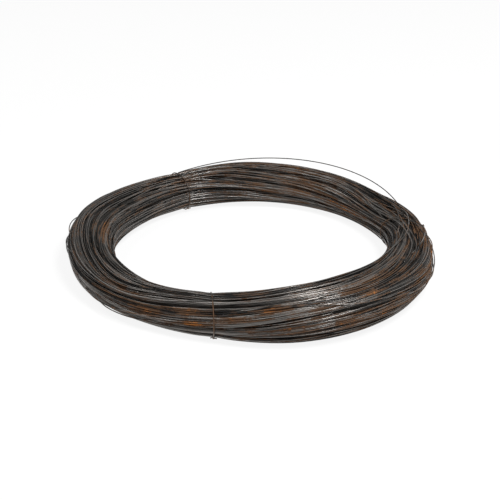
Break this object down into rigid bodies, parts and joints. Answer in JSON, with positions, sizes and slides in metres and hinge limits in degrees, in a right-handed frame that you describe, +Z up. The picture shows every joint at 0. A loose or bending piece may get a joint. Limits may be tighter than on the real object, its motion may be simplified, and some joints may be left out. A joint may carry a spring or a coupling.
{
  "type": "coil of steel wire",
  "caption": "Flat coil of black annealed steel wire, wound on a round former and held by wire ties, with one turn sprung loose over the back.",
  "frame": {"origin": "on the axis of the coil's eye, at the level of the floor that the coil lies on", "axes": "+Z up along the axis of the eye, +X to the right of the picture, +Y away from its camera"},
  "size_m": [0.5439, 0.5485, 0.0692],
  "materials": {
    "coil_wire": "black annealed steel wire with a thin oxide scale, dull sheen along the wire and patches of brown rust",
    "tie_wire": "black annealed steel tie wire, slightly rusted where it crosses the bundle"
  },
  "bodies": {
    "root": {"wire_coil": "coil_wire", "loose_turn": "coil_wire", "front_tie": "tie_wire", "back_tie": "tie_wire", "right_tie": "tie_wire"}
  },
  "joints": []
}
